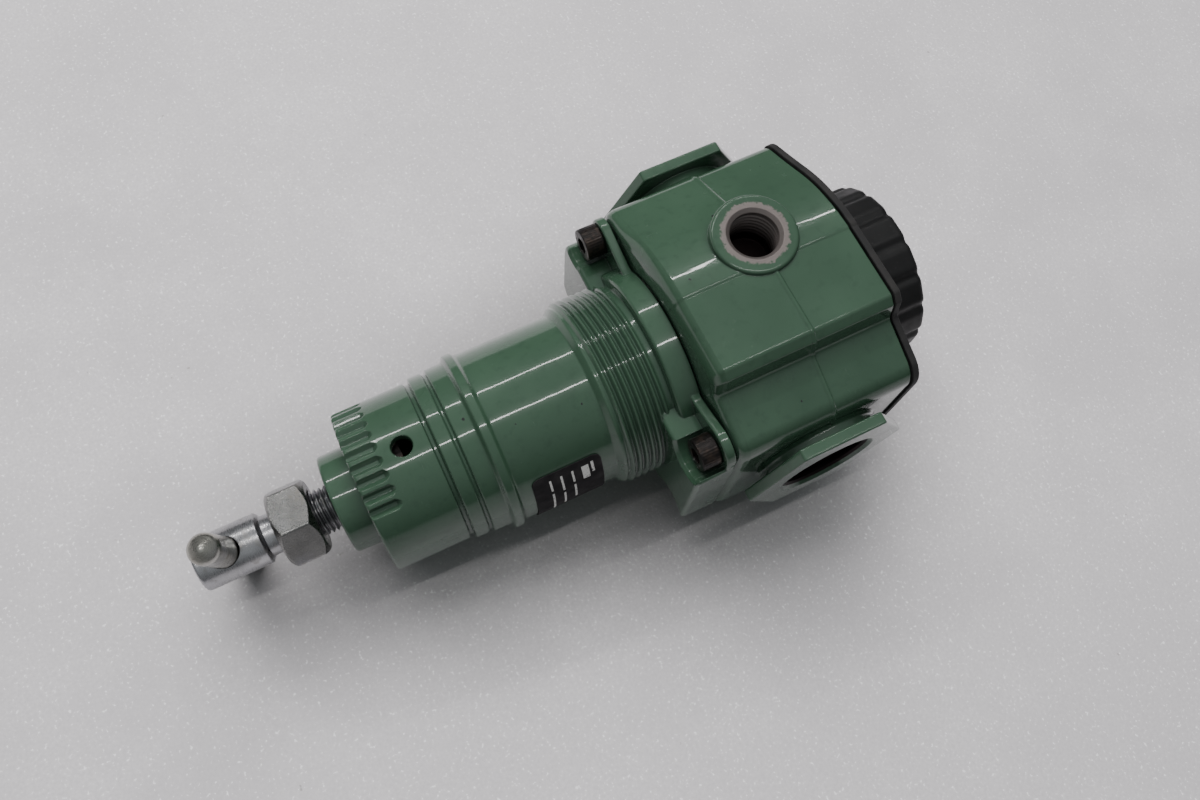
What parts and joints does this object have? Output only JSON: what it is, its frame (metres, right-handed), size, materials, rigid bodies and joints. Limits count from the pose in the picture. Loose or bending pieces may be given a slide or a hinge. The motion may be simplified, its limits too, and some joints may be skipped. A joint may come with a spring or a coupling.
{
  "type": "air pressure regulator",
  "caption": "Compressed-air pressure regulator: cast body with hexagonal inlet and outlet ports, bolted bonnet, T-bar adjusting screw with lock nut, and a ribbed bottom plug.",
  "frame": {"origin": "middle of the bottom plug's lower face, on the main axis; the port axis crosses the main axis 41.5 mm above it", "axes": "+Z along the main axis from the valve towards the T-bar; +X along the port axis out of the outlet; -Y out of the front gauge port"},
  "size_m": [0.089, 0.0738, 0.1954],
  "materials": {
    "casting": "glossy green enamel on a die casting",
    "black_steel": "black oxide, oiled",
    "zinc_steel": "zinc plated, turned",
    "seal_rubber": "matt moulded rubber",
    "plug_plastic": "black moulded plastic, satin",
    "label_film": "printed film",
    "brass": "turned",
    "washer_aluminium": "pressed",
    "spring_steel": "drawn wire"
  },
  "bodies": {
    "housing": {"body": "casting", "bonnet": "casting", "bonnet_screw_1": "black_steel", "bonnet_screw_2": "black_steel", "bonnet_screw_3": "black_steel", "bonnet_screw_4": "black_steel", "bottom_gasket": "seal_rubber", "bottom_plug": "plug_plastic", "plug_o_ring": "seal_rubber", "rear_gauge_plug": "brass", "label": "label_film", "range_spring": "spring_steel", "valve_spring": "spring_steel"},
    "spring_seat": {"spring_button": "black_steel"},
    "screw": {"adjusting_screw": "zinc_steel", "t_bar": "zinc_steel"},
    "nut": {"lock_nut": "zinc_steel"},
    "diaphragm_stack": {"diaphragm": "seal_rubber", "diaphragm_plate": "zinc_steel", "diaphragm_washer": "washer_aluminium", "relief_seat": "brass", "diaphragm_nut": "brass"},
    "valve": {"valve_poppet": "brass", "valve_seal": "seal_rubber", "valve_o_ring": "seal_rubber"}
  },
  "joints": [
    {"name": "screw_lift", "type": "slide", "parent": "housing", "child": "spring_seat", "axis": [0, 0, 1], "range_m": [-0.0037, 0.00245], "deforming": ["range_spring"]},
    {"name": "screw_turn", "type": "hinge", "parent": "spring_seat", "child": "screw", "pos_m": [0, 0, 0], "axis": [0, 0, 1], "range_deg": [-1080, 720]},
    {"name": "nut_lift", "type": "slide", "parent": "screw", "child": "nut", "axis": [0, 0, 1], "range_m": [-0.00125, 0.0025]},
    {"name": "diaphragm_lift", "type": "slide", "parent": "housing", "child": "diaphragm_stack", "axis": [0, 0, 1], "range_m": [-0.0022, 0], "deforming": ["diaphragm"]},
    {"name": "valve_lift", "type": "slide", "parent": "housing", "child": "valve", "axis": [0, 0, 1], "range_m": [-0.0022, 0], "deforming": ["valve_spring"]}
  ],
  "couplings": [
    {"joint": "screw_turn", "follows": "screw_lift", "rad_per_m": 5026.5},
    {"joint": "valve_lift", "follows": "diaphragm_lift", "ratio": 1}
  ]
}
